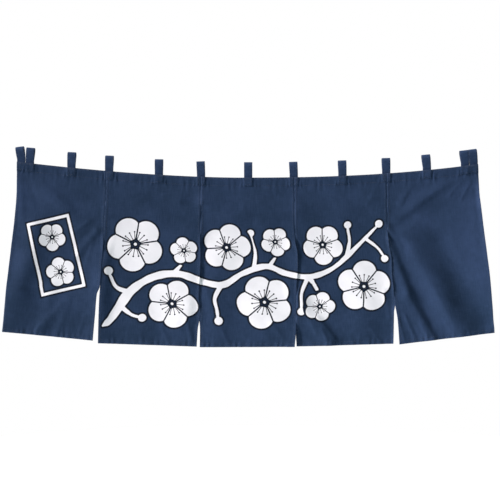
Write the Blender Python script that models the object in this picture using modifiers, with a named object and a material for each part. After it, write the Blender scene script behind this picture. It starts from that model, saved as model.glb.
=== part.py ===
"""Noren: a five-width cotton shop curtain, hung by thirteen sewn loops along a sagging line.

Metres, +Z up, seen from the front along +Y. The origin is the axis of whatever runs through the loops,
at the middle loop. Each cloth width is one sheet with its folds, and each loop is one folded strip.
"""

import math

import bpy
import numpy as np

# Cloth: a panel's doubled cotton, a loop's folded strip, and the gap that sewn pieces keep.
CLOTH = 0.0016
STRIP = 0.0015
GAP = 0.0004
SLIT_GAP = 0.0010

# The hanging line: the panels' top edge sags to its lowest point just left of the middle.
LOW_X = -0.0295
LOW_Z = -0.0454
LEFT_REACH, LEFT_RISE, LEFT_POWER = 0.803, 0.0575, 1.67
RIGHT_REACH, RIGHT_RISE, RIGHT_POWER = 0.857, 0.0486, 2.4

# Loops: width, rise above the panel's edge, length sewn behind it, and outer radius round the rod.
TAB_WIDTH = 0.030
TAB_RISE = 0.0562
TAB_SEWN = 0.028
TAB_RADIUS = 0.0112
TAB_LEAN_START = 0.008

# Flat stretch below the top edge where the loops are sewn, and how fast the folds grow under it.
FLAT_HEAD = 0.030
FOLD_GROWTH = 0.070
FOLD_CAP = 0.030
CURL_REACH = 0.034
SLIT_FADE = 0.060

PANEL_CELLS = (20, 36)
TAB_CELLS_LEG, TAB_CELLS_SIDE, TAB_CELLS_ARC = 1, 4, 8

# Lines between the panels, from the left end to the right end. Each row is
# (height, x of the panel on the left, x of the panel on the right). They part where the slit opens.
LINES = (
    (
        (0.010, -0.8323, -0.8323),
        (-0.090, -0.8330, -0.8330),
        (-0.206, -0.8428, -0.8428),
        (-0.306, -0.8546, -0.8546),
        (-0.390, -0.8644, -0.8644),
        (-0.600, -0.8838, -0.8838),
    ),
    (
        (-0.020, -0.5101, -0.5101),
        (-0.090, -0.5119, -0.5119),
        (-0.180, -0.5162, -0.5162),
        (-0.290, -0.5220, -0.5220),
        (-0.350, -0.5262, -0.5278),
        (-0.437, -0.5335, -0.5315),
        (-0.464, -0.5440, -0.5334),
        (-0.550, -0.5522, -0.5375),
        (-0.640, -0.5605, -0.5400),
    ),
    (
        (-0.045, -0.1706, -0.1706),
        (-0.230, -0.1716, -0.1716),
        (-0.270, -0.1735, -0.1735),
        (-0.320, -0.1718, -0.1738),
        (-0.400, -0.1742, -0.1762),
        (-0.478, -0.1788, -0.1788),
        (-0.518, -0.1728, -0.1728),
        (-0.555, -0.1757, -0.1750),
        (-0.590, -0.1820, -0.1728),
        (-0.656, -0.1861, -0.1735),
    ),
    (
        (-0.040, 0.1660, 0.1660),
        (-0.272, 0.1690, 0.1690),
        (-0.320, 0.1775, 0.1732),
        (-0.370, 0.1780, 0.1730),
        (-0.440, 0.1734, 0.1734),
        (-0.500, 0.1738, 0.1738),
        (-0.535, 0.1746, 0.1724),
        (-0.570, 0.1720, 0.1720),
        (-0.606, 0.1706, 0.1724),
        (-0.655, 0.1663, 0.1757),
    ),
    (
        (-0.031, 0.4982, 0.4982),
        (-0.230, 0.5011, 0.5011),
        (-0.288, 0.5064, 0.5064),
        (-0.335, 0.5148, 0.5148),
        (-0.396, 0.5176, 0.5176),
        (-0.450, 0.5231, 0.5231),
        (-0.503, 0.5278, 0.5290),
        (-0.528, 0.5243, 0.5339),
        (-0.558, 0.5236, 0.5386),
        (-0.645, 0.5216, 0.5450),
    ),
    (
        (0.003, 0.8273, 0.8273),
        (-0.093, 0.8316, 0.8316),
        (-0.185, 0.8410, 0.8410),
        (-0.306, 0.8561, 0.8561),
        (-0.385, 0.8662, 0.8662),
        (-0.603, 0.8852, 0.8852),
    ),
)

# Height at which each inner line stops being sewn and becomes a slit.
SLIT_TOPS = {1: -0.252, 2: -0.241, 3: -0.259, 4: -0.230}

# Bottom corners of each panel: (height at its left, height at its right).
HEMS = (
    (-0.5998, -0.6318),
    (-0.6415, -0.6534),
    (-0.6556, -0.6545),
    (-0.6534, -0.6430),
    (-0.6455, -0.6034),
)

# How far the edges stand forward along each slit. Each row is
# (height, right edge of the panel on the left, left edge of the panel on the right).
CURLS = {
    1: (
        (-0.252, 0.0000, 0.0000),
        (-0.310, 0.0040, 0.0020),
        (-0.350, 0.0070, 0.0045),
        (-0.400, 0.0110, 0.0090),
        (-0.430, 0.0110, 0.0105),
        (-0.460, 0.0090, 0.0110),
        (-0.560, 0.0040, 0.0060),
        (-0.642, 0.0040, 0.0010),
    ),
    2: (
        (-0.241, 0.0000, 0.0000),
        (-0.290, 0.0015, -0.0015),
        (-0.400, 0.0018, -0.0018),
        (-0.440, 0.0020, -0.0020),
        (-0.478, 0.0010, -0.0010),
        (-0.550, 0.0000, 0.0000),
        (-0.656, 0.0020, -0.0010),
    ),
    3: (
        (-0.259, 0.0000, 0.0000),
        (-0.305, 0.0045, -0.0045),
        (-0.360, 0.0040, -0.0040),
        (-0.400, 0.0030, -0.0030),
        (-0.470, 0.0010, 0.0000),
        (-0.540, -0.0020, 0.0030),
        (-0.590, 0.0020, -0.0010),
        (-0.655, 0.0060, -0.0060),
    ),
    4: (
        (-0.230, 0.0000, 0.0000),
        (-0.290, 0.0035, 0.0000),
        (-0.340, 0.0030, 0.0000),
        (-0.420, 0.0015, 0.0000),
        (-0.480, 0.0000, 0.0010),
        (-0.530, 0.0000, 0.0020),
        (-0.645, 0.0020, 0.0000),
    ),
}

# Main folds, each a soft crest between two points. Each row is (panel, x and z of the start, x and z of
# the end, width on its left and on its right when followed downwards, height at the start and the end).
FOLDS = (
    (0, -0.7963, -0.0106, -0.6559, -0.1546, 0.038, 0.022, 0.0075, 0.0040),
    (0, -0.7639, -0.2338, -0.8251, -0.4498, 0.042, 0.042, 0.0085, 0.0105),
    (0, -0.8539, -0.4498, -0.8791, -0.6154, 0.030, 0.062, 0.0070, 0.0110),
    (0, -0.5443, -0.2374, -0.6199, -0.3310, 0.015, 0.015, 0.0045, 0.0030),
    (0, -0.5443, -0.3130, -0.6055, -0.4858, 0.026, 0.032, 0.0020, 0.0040),
    (0, -0.7063, -0.4426, -0.7423, -0.5974, 0.022, 0.020, 0.0030, 0.0060),
    (1, -0.3895, -0.0682, -0.2563, -0.1186, 0.020, 0.042, 0.0050, 0.0060),
    (1, -0.2383, -0.1222, -0.1663, -0.1114, 0.020, 0.042, 0.0020, 0.0060),
    (1, -0.2239, -0.2878, -0.2131, -0.6118, 0.060, 0.026, 0.0020, 0.0050),
    (2, -0.1627, -0.1366, -0.0295, -0.1762, 0.020, 0.042, 0.0070, 0.0035),
    (2, -0.0079, -0.1726, 0.1721, -0.1654, 0.022, 0.042, 0.0025, 0.0035),
    (2, -0.1231, -0.3490, -0.1015, -0.6118, 0.040, 0.045, 0.0020, 0.0040),
    (2, 0.0497, -0.3490, 0.0713, -0.6118, 0.060, 0.050, 0.0010, 0.0040),
    (3, 0.1829, -0.3490, 0.1973, -0.4858, 0.020, 0.034, 0.0030, 0.0040),
    (3, 0.1829, -0.4858, 0.2945, -0.6370, 0.030, 0.024, 0.0050, 0.0100),
    (3, 0.3953, -0.3238, 0.4097, -0.6118, 0.070, 0.060, 0.0020, 0.0050),
    (4, 0.5033, -0.2698, 0.5717, -0.4534, 0.020, 0.016, 0.0050, 0.0080),
    (4, 0.5789, -0.4822, 0.6617, -0.6226, 0.034, 0.017, 0.0065, 0.0090),
    (4, 0.5609, -0.2482, 0.7733, -0.6226, 0.030, 0.052, 0.0070, 0.0190),
    (4, 0.6977, -0.2698, 0.8561, -0.5650, 0.050, 0.042, -0.0040, -0.0090),
    (4, 0.8957, -0.1438, 0.9317, -0.5758, 0.095, 0.060, 0.0140, 0.0210),
    (4, 0.7589, -0.0250, 0.5429, -0.1906, 0.024, 0.016, 0.0060, 0.0035),
)

# Loops, left to right: (x of the foot, lean of the loop in degrees, positive to the right).
TABS = (
    (-0.8168, -4.0),
    (-0.7859, 5.0),
    (-0.6367, 2.8),
    (-0.5008, 2.0),
    (-0.3215, 0.5),
    (-0.1697, -2.4),
    (0.0000, 0.0),
    (0.1642, -2.8),
    (0.3395, -2.0),
    (0.4972, -1.8),
    (0.6437, -6.0),
    (0.7812, -7.0),
    (0.8120, -7.0),
)

INDIGO = (0.0262, 0.0452, 0.0908, 1.0)
COTTON_ROUGHNESS = 0.9


def through(rows, column, height):
    """Smooth curve through a table's rows, from the first column to another, with no overshoot (PCHIP)."""
    table = np.array(rows, float)[::-1]
    known, values = table[:, 0], table[:, column]
    steps = np.diff(known)
    slopes = np.diff(values) / steps
    inner = np.zeros(len(known))
    inner[0], inner[-1] = slopes[0], slopes[-1]
    same_way = slopes[:-1] * slopes[1:] > 0
    inner[1:-1][same_way] = 2 / (1 / slopes[:-1][same_way] + 1 / slopes[1:][same_way])
    place = np.clip(height, known[0], known[-1])
    i = np.clip(np.searchsorted(known, place) - 1, 0, len(steps) - 1)
    f = (place - known[i]) / steps[i]
    return (
        values[i] * (1 + 2 * f) * (1 - f) ** 2
        + inner[i] * steps[i] * f * (1 - f) ** 2
        + values[i + 1] * f * f * (3 - 2 * f)
        + inner[i + 1] * steps[i] * f * f * (f - 1)
    )


def eased(value):
    """0 below 0, 1 above 1 and smooth between."""
    f = np.clip(value, 0.0, 1.0)
    return f * f * (3 - 2 * f)


def top_height(x):
    """Height of the panels' top edge, which rises from its lowest point towards both ends."""
    left = np.clip((LOW_X - x) / LEFT_REACH, 0, None) ** LEFT_POWER * LEFT_RISE
    right = np.clip((x - LOW_X) / RIGHT_REACH, 0, None) ** RIGHT_POWER * RIGHT_RISE
    return LOW_Z + left + right


def line_x(line, column, height):
    """Where a line between panels runs at a height, set back from it by half the gap on that side."""
    slit_top = SLIT_TOPS.get(line)
    gap = GAP + (SLIT_GAP - GAP) * eased((slit_top - height) / SLIT_FADE) if slit_top else 0.0
    side = -0.5 if column == 1 else 0.5
    return through(LINES[line], column, height) + side * gap


def fold_height(row, x, z):
    """How far one fold stands forward: its height along the crest, falling off as a bell on each side."""
    _, x0, z0, x1, z1, left, right, start, end = row
    along = np.array((x1 - x0, z1 - z0))
    length = np.hypot(*along)
    along = along / length
    run = (x - x0) * along[0] + (z - z0) * along[1]
    across = -(x - x0) * along[1] + (z - z0) * along[0]
    share = np.clip(run / length, 0, 1)
    width = np.where(across < 0, left, right)
    past = run - share * length
    bell = np.exp(-((across / width) ** 2) - (past / FOLD_CAP) ** 2)
    return (start + (end - start) * share) * bell


def shared_share(owner, panel, z):
    """Share of one panel's fold that another follows: all of it across a seam, and none across a slit."""
    if owner == panel:
        return 1.0
    if abs(owner - panel) > 1:
        return 0.0
    return 1 - eased((SLIT_TOPS[max(owner, panel)] - z) / SLIT_FADE)


def panel_surface(panel, across, down):
    """Points of a panel's middle surface, for shares across and down from its top left corner."""
    left_line, right_line = panel, panel + 1
    left_top = LINES[left_line][0][2]
    right_top = LINES[right_line][0][1]
    left_z = top_height(left_top) + down * (HEMS[panel][0] - top_height(left_top))
    right_z = top_height(right_top) + down * (HEMS[panel][1] - top_height(right_top))
    left_x = line_x(left_line, 2, left_z)
    right_x = line_x(right_line, 1, right_z)
    x = left_x + across * (right_x - left_x)
    head_z = top_height(left_top + across * (right_top - left_top))
    hem_z = HEMS[panel][0] + across * (HEMS[panel][1] - HEMS[panel][0])
    z = head_z + down * (hem_z - head_z)

    forward = sum(shared_share(row[0], panel, z) * fold_height(row, x, z) for row in FOLDS)
    forward = forward * eased((head_z - z - FLAT_HEAD) / FOLD_GROWTH)
    if left_line in CURLS:
        reach = np.exp(-(((x - left_x) / CURL_REACH) ** 2))
        forward += reach * through(CURLS[left_line], 2, z)
    if right_line in CURLS:
        reach = np.exp(-(((right_x - x) / CURL_REACH) ** 2))
        forward += reach * through(CURLS[right_line], 1, z)
    head_y = -(CLOTH / 2 + STRIP + 1.5 * GAP)
    return np.stack([x, head_y - forward, z], axis=-1)


def tab_surface(foot_x, lean, across, along):
    """Points of a loop's strip: up behind the panel, round the rod and down again, as one closed path.

    The two legs lie flat on each other behind the panel, part above its edge and meet in a half circle.
    """
    touching = (STRIP + GAP) / 2
    radius = TAB_RADIUS - STRIP / 2
    centre = TAB_RISE - TAB_RADIUS
    leg = np.linspace(-TAB_SEWN, 0, TAB_CELLS_LEG, endpoint=False)
    side = np.linspace(0, centre, TAB_CELLS_SIDE, endpoint=False)
    arc = np.linspace(0, math.pi, TAB_CELLS_ARC + 1)
    rise = np.concatenate([leg, side, centre + radius * np.sin(arc), side[::-1], leg[::-1]])
    spread = touching + (radius - touching) * eased(side / centre)
    flat = np.full(len(leg), touching)
    depth = np.concatenate([-flat, -spread, -radius * np.cos(arc), spread[::-1], flat])
    index = np.rint(along * (len(rise) - 1)).astype(int)
    rise, depth = rise[index], depth[index]
    lean = math.radians(lean)
    turned = np.clip(rise - TAB_LEAN_START, 0, None)
    sideways = TAB_WIDTH * (across - 0.5)
    x = foot_x + sideways + turned * math.sin(lean)
    z = top_height(foot_x) + rise - sideways * math.sin(lean) * eased(turned / TAB_RADIUS)
    return np.stack([x, depth, z], axis=-1)


def tab_rows():
    """Number of cells along a loop's strip."""
    return 2 * (TAB_CELLS_LEG + TAB_CELLS_SIDE) + TAB_CELLS_ARC


def cotton():
    """Indigo-dyed cotton."""
    material = bpy.data.materials.new("indigo_cotton")
    material.use_nodes = True
    shader = material.node_tree.nodes["Principled BSDF"]
    shader.inputs["Base Color"].default_value = INDIGO
    shader.inputs["Roughness"].default_value = COTTON_ROUGHNESS
    shader.inputs["Metallic"].default_value = 0.0
    return material


def sheet(name, cells, surface, thickness, material, collection):
    """A grid laid on a surface that is a function of its shares across and down, then given a thickness."""
    bpy.ops.mesh.primitive_grid_add(x_subdivisions=cells[0], y_subdivisions=cells[1], size=1.0)
    piece = bpy.context.object
    piece.name = name
    piece.data.name = name
    flat = np.empty(len(piece.data.vertices) * 3)
    piece.data.vertices.foreach_get("co", flat)
    flat = flat.reshape(-1, 3)
    points = surface(flat[:, 0] + 0.5, 0.5 - flat[:, 1])
    piece.data.vertices.foreach_set("co", points.ravel())
    piece.data.update()
    piece.data.materials.append(material)
    solidify = piece.modifiers.new("thickness", "SOLIDIFY")
    solidify.thickness = thickness
    solidify.offset = 0.0
    piece.data.shade_smooth()
    piece.data.set_sharp_from_angle(angle=math.radians(50))
    for other in piece.users_collection:
        other.objects.unlink(piece)
    collection.objects.link(piece)
    return piece


def main():
    for old in list(bpy.data.objects):
        bpy.data.objects.remove(old)
    collection = bpy.data.collections.new("noren")
    bpy.context.scene.collection.children.link(collection)
    material = cotton()

    for panel in range(len(HEMS)):
        sheet(
            f"panel_{panel + 1}",
            PANEL_CELLS,
            lambda across, down, panel=panel: panel_surface(panel, across, down),
            CLOTH,
            material,
            collection,
        )
    for number, (foot_x, lean) in enumerate(TABS, start=1):
        sheet(
            f"tab_{number:02d}",
            (1, tab_rows()),
            lambda across, along, x=foot_x, lean=lean: tab_surface(x, lean, across, along),
            STRIP,
            material,
            collection,
        )


main()
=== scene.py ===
"""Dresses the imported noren: hemmed cotton widths with their hung folds, sewn loops, stitches and dyed design.

Metres, +Z up, the front faces -Y. Run it as a script. It is laid out as an add-on, with the sizes and colours
in property groups, one operator for each kind of piece and a panel in the sidebar that lists them.
"""

import math

import bpy
import numpy as np
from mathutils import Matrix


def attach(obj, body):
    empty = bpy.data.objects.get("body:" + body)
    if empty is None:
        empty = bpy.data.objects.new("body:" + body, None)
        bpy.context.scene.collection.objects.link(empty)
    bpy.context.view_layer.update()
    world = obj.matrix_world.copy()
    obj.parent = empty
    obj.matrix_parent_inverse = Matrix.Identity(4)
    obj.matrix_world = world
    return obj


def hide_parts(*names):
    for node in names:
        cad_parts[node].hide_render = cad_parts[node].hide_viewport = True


bl_info = {
    "name": "Noren curtain",
    "version": (1, 0, 0),
    "blender": (4, 5, 0),
    "location": "3D Viewport > Sidebar > Noren",
    "description": "Makes a hung noren of five hemmed cotton widths with sewn loops and a dyed design",
    "category": "Object",
}

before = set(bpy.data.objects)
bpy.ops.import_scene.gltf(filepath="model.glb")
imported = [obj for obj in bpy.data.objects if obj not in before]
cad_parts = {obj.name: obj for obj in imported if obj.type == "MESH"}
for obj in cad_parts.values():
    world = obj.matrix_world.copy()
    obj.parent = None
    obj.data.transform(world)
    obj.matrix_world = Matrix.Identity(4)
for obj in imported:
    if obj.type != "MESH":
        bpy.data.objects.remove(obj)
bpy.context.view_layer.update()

# The part's own lines, repeated from its source, in metres

# The hanging line: lowest point of the panels' top edge, and its rise towards both ends.
LOW_X, LOW_Z = -0.0295, -0.0454
LEFT_REACH, LEFT_RISE, LEFT_POWER = 0.803, 0.0575, 1.67
RIGHT_REACH, RIGHT_RISE, RIGHT_POWER = 0.857, 0.0486, 2.4

# Loops: width, rise above the edge, length sewn behind it, outer radius, thickness, and start of the lean.
TAB_WIDTH, TAB_RISE, TAB_SEWN = 0.030, 0.0562, 0.028
TAB_RADIUS, STRIP, TAB_LEAN_START = 0.0112, 0.0015, 0.011

# Middle of the solids' sheet behind the front, gaps along seams and slits, and how the folds grow downwards.
# The seams are sewn shut, and the hems just overlap at the closed heads of the slits.
HEAD_Y = -0.0029
SEAM_GAP, SLIT_GAP, STRIP_GAP = -0.0006, -0.0012, 0.0004
FLAT_HEAD, FOLD_GROWTH, FOLD_CAP = 0.030, 0.070, 0.030
CURL_REACH, SLIT_FADE = 0.034, 0.060

# The loops' feet pressing through the top hem: height, half width, and reach of the side and end edges.
FOOT_HEIGHT, FOOT_HALF, FOOT_EDGE, FOOT_END = 0.0022, 0.0146, 0.0045, 0.0050

# The puckers beside them: height, distance below the edge, length, width, and how they flare out downwards.
FOOT_PUCKER, PUCKER_BELOW, PUCKER_LENGTH, PUCKER_WIDTH = 0.0017, 0.024, 0.013, 0.0030
FLARE_START, FLARE_SPREAD = 0.0185, 0.22

# Waves that the sewing draws up on the left, right, foot and top: height, length and reach inwards.
WAVES = ((0.00035, 0.022, 0.013), (0.00035, 0.025, 0.013), (0.00110, 0.024, 0.020), (0.00050, 0.029, 0.022))
WAVES_BELOW_TOP = 0.030

# The rolled edges of the hems along the slits: forward on the left panel, and back on the right one. They
# roll the most a little below the head of the slit: by how much more, how far below and over what reach.
LIP_REACH = 0.0052
LIPS = {1: (0.0012, 0.0), 2: (0.0016, 0.0008), 3: (0.0015, 0.0022), 4: (0.0034, 0.0)}
LIP_SWELL, LIP_BELOW, LIP_LENGTH = 0.8, 0.040, 0.020

# The groove that each seam pulls in where two widths are sewn together: its reach and its depths.
GROOVE_REACH = 0.0026
GROOVES = {1: 0.0005, 2: 0.0009, 3: 0.0012, 4: 0.0011}

# Lines between the panels: rows of (height, x of the panel on the left, x of the panel on the right).
LINES = (
    (
        (0.010, -0.8323, -0.8323), (-0.090, -0.8330, -0.8330), (-0.206, -0.8428, -0.8428),
        (-0.306, -0.8546, -0.8546), (-0.390, -0.8644, -0.8644), (-0.600, -0.8838, -0.8838),
    ),
    (
        (-0.020, -0.5101, -0.5101), (-0.090, -0.5119, -0.5119), (-0.180, -0.5162, -0.5162),
        (-0.290, -0.5220, -0.5220), (-0.350, -0.5266, -0.5272), (-0.437, -0.5335, -0.5315),
        (-0.464, -0.5440, -0.5334), (-0.550, -0.5522, -0.5375), (-0.640, -0.5605, -0.5400),
    ),
    (
        (-0.045, -0.1706, -0.1706), (-0.230, -0.1716, -0.1716), (-0.270, -0.1735, -0.1735),
        (-0.320, -0.1718, -0.1738), (-0.400, -0.1742, -0.1762), (-0.478, -0.1788, -0.1788),
        (-0.518, -0.1728, -0.1728), (-0.555, -0.1757, -0.1750), (-0.590, -0.1820, -0.1728),
        (-0.656, -0.1861, -0.1735),
    ),
    (
        (-0.040, 0.1660, 0.1660), (-0.272, 0.1690, 0.1690), (-0.320, 0.1775, 0.1732),
        (-0.370, 0.1780, 0.1730), (-0.440, 0.1734, 0.1734), (-0.500, 0.1738, 0.1738),
        (-0.535, 0.1746, 0.1724), (-0.570, 0.1720, 0.1720), (-0.606, 0.1706, 0.1724),
        (-0.655, 0.1663, 0.1757),
    ),
    (
        (-0.031, 0.4982, 0.4982), (-0.230, 0.5011, 0.5011), (-0.288, 0.5064, 0.5064),
        (-0.335, 0.5148, 0.5148), (-0.396, 0.5176, 0.5176), (-0.450, 0.5231, 0.5231),
        (-0.503, 0.5278, 0.5290), (-0.528, 0.5243, 0.5339), (-0.558, 0.5236, 0.5386),
        (-0.645, 0.5216, 0.5450),
    ),
    (
        (0.003, 0.8273, 0.8273), (-0.093, 0.8316, 0.8316), (-0.185, 0.8410, 0.8410),
        (-0.306, 0.8561, 0.8561), (-0.385, 0.8662, 0.8662), (-0.603, 0.8852, 0.8852),
    ),
)
SLIT_TOPS = {1: -0.252, 2: -0.241, 3: -0.259, 4: -0.230}
HEMS = (
    (-0.5998, -0.6318),
    (-0.6415, -0.6534),
    (-0.6556, -0.6545),
    (-0.6534, -0.6430),
    (-0.6455, -0.6034),
)

# How far the edges stand forward along each slit: rows of (height, left panel's edge, right panel's edge).
CURLS = {
    1: (
        (-0.252, 0.0000, 0.0000), (-0.310, 0.0040, 0.0030), (-0.350, 0.0070, 0.0057),
        (-0.400, 0.0110, 0.0100), (-0.430, 0.0110, 0.0112), (-0.460, 0.0090, 0.0110),
        (-0.560, 0.0040, 0.0060), (-0.642, 0.0040, 0.0010),
    ),
    2: (
        (-0.241, 0.0000, 0.0000), (-0.290, 0.0015, -0.0015), (-0.400, 0.0018, -0.0018),
        (-0.440, 0.0020, -0.0020), (-0.478, 0.0010, -0.0010), (-0.550, 0.0000, 0.0000),
        (-0.656, 0.0020, -0.0010),
    ),
    3: (
        (-0.259, 0.0000, 0.0000), (-0.305, 0.0045, -0.0045), (-0.360, 0.0040, -0.0040),
        (-0.400, 0.0030, -0.0030), (-0.470, 0.0010, 0.0000), (-0.540, -0.0020, 0.0030),
        (-0.590, 0.0020, -0.0010), (-0.655, 0.0060, -0.0060),
    ),
    4: (
        (-0.230, 0.0000, 0.0000), (-0.290, 0.0035, 0.0000), (-0.340, 0.0030, 0.0000),
        (-0.420, 0.0015, 0.0000), (-0.480, 0.0000, 0.0010), (-0.530, 0.0000, 0.0020),
        (-0.645, 0.0020, 0.0000),
    ),
}

# Folds: rows of (panel, x and z of the start, x and z of the end, width on the left and on the right when
# followed downwards, height at the start and at the end). The first table is the solids' own.
FOLDS = (
    (0, -0.7963, -0.0106, -0.6559, -0.1546, 0.038, 0.022, 0.0075, 0.0040),
    (0, -0.7639, -0.2338, -0.8251, -0.4498, 0.042, 0.042, 0.0085, 0.0105),
    (0, -0.8539, -0.4498, -0.8791, -0.6154, 0.030, 0.062, 0.0070, 0.0110),
    (0, -0.5443, -0.2374, -0.6199, -0.3310, 0.015, 0.015, 0.0045, 0.0030),
    (0, -0.5443, -0.3130, -0.6055, -0.4858, 0.026, 0.032, 0.0020, 0.0040),
    (0, -0.7063, -0.4426, -0.7423, -0.5974, 0.022, 0.020, 0.0030, 0.0060),
    (1, -0.3895, -0.0682, -0.2563, -0.1186, 0.020, 0.042, 0.0050, 0.0060),
    (1, -0.2383, -0.1222, -0.1663, -0.1114, 0.020, 0.042, 0.0020, 0.0060),
    (1, -0.2239, -0.2878, -0.2131, -0.6118, 0.060, 0.026, 0.0020, 0.0050),
    (2, -0.1627, -0.1366, -0.0295, -0.1762, 0.020, 0.042, 0.0070, 0.0035),
    (2, -0.0079, -0.1726, 0.1721, -0.1654, 0.022, 0.042, 0.0025, 0.0035),
    (2, -0.1231, -0.3490, -0.1015, -0.6118, 0.040, 0.045, 0.0020, 0.0040),
    (2, 0.0497, -0.3490, 0.0713, -0.6118, 0.060, 0.050, 0.0010, 0.0040),
    (3, 0.1829, -0.3490, 0.1973, -0.4858, 0.020, 0.034, 0.0030, 0.0040),
    (3, 0.1829, -0.4858, 0.2945, -0.6370, 0.030, 0.024, 0.0050, 0.0100),
    (3, 0.3953, -0.3238, 0.4097, -0.6118, 0.070, 0.060, 0.0020, 0.0050),
    (4, 0.5033, -0.2698, 0.5717, -0.4534, 0.020, 0.016, 0.0050, 0.0080),
    (4, 0.5789, -0.4822, 0.6617, -0.6226, 0.034, 0.017, 0.0065, 0.0090),
    (4, 0.5609, -0.2482, 0.7733, -0.6226, 0.030, 0.052, 0.0070, 0.0190),
    (4, 0.6977, -0.2698, 0.8561, -0.5650, 0.050, 0.042, -0.0040, -0.0090),
    (4, 0.8957, -0.1438, 0.9317, -0.5758, 0.095, 0.060, 0.0140, 0.0210),
    (4, 0.7589, -0.0250, 0.5429, -0.1906, 0.024, 0.016, 0.0060, 0.0035),
)

# Smaller creases that the cloth has on top of its main folds, in the same columns.
CREASES = (
    (0, -0.8215, -0.0394, -0.8143, -0.1798, 0.016, 0.014, 0.0024, 0.0016),
    (0, -0.7891, -0.0538, -0.7531, -0.1690, 0.010, 0.012, -0.0012, -0.0006),
    (0, -0.7495, -0.0394, -0.6847, -0.0754, 0.009, 0.012, 0.0010, 0.0016),
    (0, -0.5767, -0.2050, -0.6271, -0.2446, 0.009, 0.008, 0.0016, 0.0008),
    (0, -0.5623, -0.2878, -0.5911, -0.3850, 0.008, 0.009, 0.0014, 0.0006),
    (0, -0.6415, -0.4858, -0.6847, -0.5974, 0.012, 0.012, 0.0010, 0.0014),
    (0, -0.5911, -0.5506, -0.6091, -0.6082, 0.007, 0.008, 0.0008, 0.0016),
    (0, -0.6235, -0.4498, -0.7495, -0.5866, 0.014, 0.020, 0.0012, 0.0034),
    (0, -0.7063, -0.4426, -0.7423, -0.5974, 0.022, 0.020, -0.0010, -0.0034),
    (0, -0.7495, -0.5758, -0.7639, -0.5974, 0.008, 0.009, 0.0010, 0.0014),
    (1, -0.2995, -0.0394, -0.1735, -0.0754, 0.008, 0.012, 0.0008, 0.0018),
    (1, -0.5119, -0.0466, -0.4903, -0.1798, 0.012, 0.014, 0.0010, 0.0004),
    (1, -0.5191, -0.1798, -0.5227, -0.3058, 0.008, 0.022, 0.0012, 0.0016),
    (1, -0.5090, -0.3300, -0.5200, -0.5400, 0.012, 0.016, 0.0012, 0.0018),
    (1, -0.2383, -0.1222, -0.1663, -0.1114, 0.020, 0.042, -0.0002, -0.0030),
    (1, -0.2815, -0.2338, -0.1807, -0.2482, 0.018, 0.026, 0.0024, 0.0034),
    (1, -0.4759, -0.2158, -0.5119, -0.3490, 0.012, 0.012, 0.0010, 0.0010),
    (1, -0.2239, -0.5578, -0.1987, -0.6406, 0.008, 0.009, 0.0014, 0.0018),
    (1, -0.3103, -0.5866, -0.2887, -0.6406, 0.008, 0.009, 0.0012, 0.0012),
    (1, -0.3895, -0.6046, -0.3787, -0.6406, 0.007, 0.008, 0.0008, 0.0014),
    (2, -0.0583, -0.0682, 0.0677, -0.0934, 0.009, 0.016, 0.0034, 0.0036),
    (2, -0.1483, -0.0502, -0.0727, -0.0646, 0.007, 0.012, 0.0022, 0.0016),
    (2, 0.0497, -0.2158, 0.1577, -0.2626, 0.012, 0.020, 0.0010, 0.0016),
    (2, -0.1519, -0.4498, -0.1303, -0.5434, 0.012, 0.012, 0.0014, 0.0012),
    (2, -0.0943, -0.5938, -0.0727, -0.6406, 0.008, 0.009, 0.0012, 0.0014),
    (2, 0.0857, -0.5722, 0.1325, -0.6370, 0.009, 0.010, 0.0016, 0.0014),
    (2, 0.1433, -0.4318, 0.1649, -0.5218, 0.012, 0.012, 0.0014, 0.0016),
    (3, 0.4745, -0.0322, 0.4349, -0.1402, 0.010, 0.014, 0.0018, 0.0008),
    (3, 0.2009, -0.0466, 0.2297, -0.1258, 0.010, 0.010, 0.0010, 0.0006),
    (3, 0.1793, -0.2626, 0.2081, -0.3130, 0.008, 0.012, 0.0020, 0.0010),
    (3, 0.2513, -0.5506, 0.3089, -0.6226, 0.008, 0.008, 0.0020, 0.0022),
    (3, 0.2657, -0.5938, 0.2873, -0.6406, 0.006, 0.007, 0.0016, 0.0016),
    (3, 0.2081, -0.5290, 0.2441, -0.6010, 0.008, 0.009, 0.0016, 0.0014),
    (3, 0.4457, -0.5938, 0.4745, -0.6406, 0.008, 0.009, 0.0010, 0.0014),
    (3, 0.3665, -0.6118, 0.3737, -0.6406, 0.008, 0.009, 0.0008, 0.0014),
    (3, 0.4889, -0.4570, 0.5105, -0.5506, 0.009, 0.010, 0.0012, 0.0014),
    (4, 0.6113, -0.0214, 0.5501, -0.1366, 0.014, 0.009, 0.0030, 0.0016),
    (4, 0.8309, -0.0250, 0.8453, -0.1510, 0.014, 0.012, 0.0045, 0.0025),
    (4, 0.8129, -0.0286, 0.7661, -0.1258, 0.007, 0.007, 0.0018, 0.0009),
    (4, 0.7949, -0.0250, 0.7229, -0.1114, 0.007, 0.006, 0.0012, 0.0007),
    (4, 0.8201, -0.0970, 0.8345, -0.2806, 0.012, 0.014, -0.0016, -0.0014),
    (4, 0.5033, -0.2194, 0.5465, -0.2914, 0.008, 0.010, 0.0022, 0.0014),
    (4, 0.5645, -0.5434, 0.5969, -0.6190, 0.007, 0.008, 0.0022, 0.0026),
    (4, 0.5393, -0.5506, 0.5609, -0.6262, 0.007, 0.007, 0.0016, 0.0016),
    (4, 0.6221, -0.5722, 0.6437, -0.6154, 0.007, 0.008, 0.0014, 0.0018),
    (4, 0.7121, -0.5650, 0.7337, -0.6082, 0.008, 0.009, 0.0010, 0.0014),
    (4, 0.7337, -0.2698, 0.7697, -0.3490, 0.014, 0.014, 0.0012, 0.0008),
    (4, 0.5573, -0.3490, 0.6581, -0.5650, 0.016, 0.034, -0.0012, -0.0048),
    (4, 0.6833, -0.2518, 0.7603, -0.4858, 0.026, 0.036, -0.0012, -0.0016),
    (4, 0.7445, -0.5290, 0.7697, -0.6118, 0.028, 0.045, -0.0010, -0.0048),
)

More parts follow.
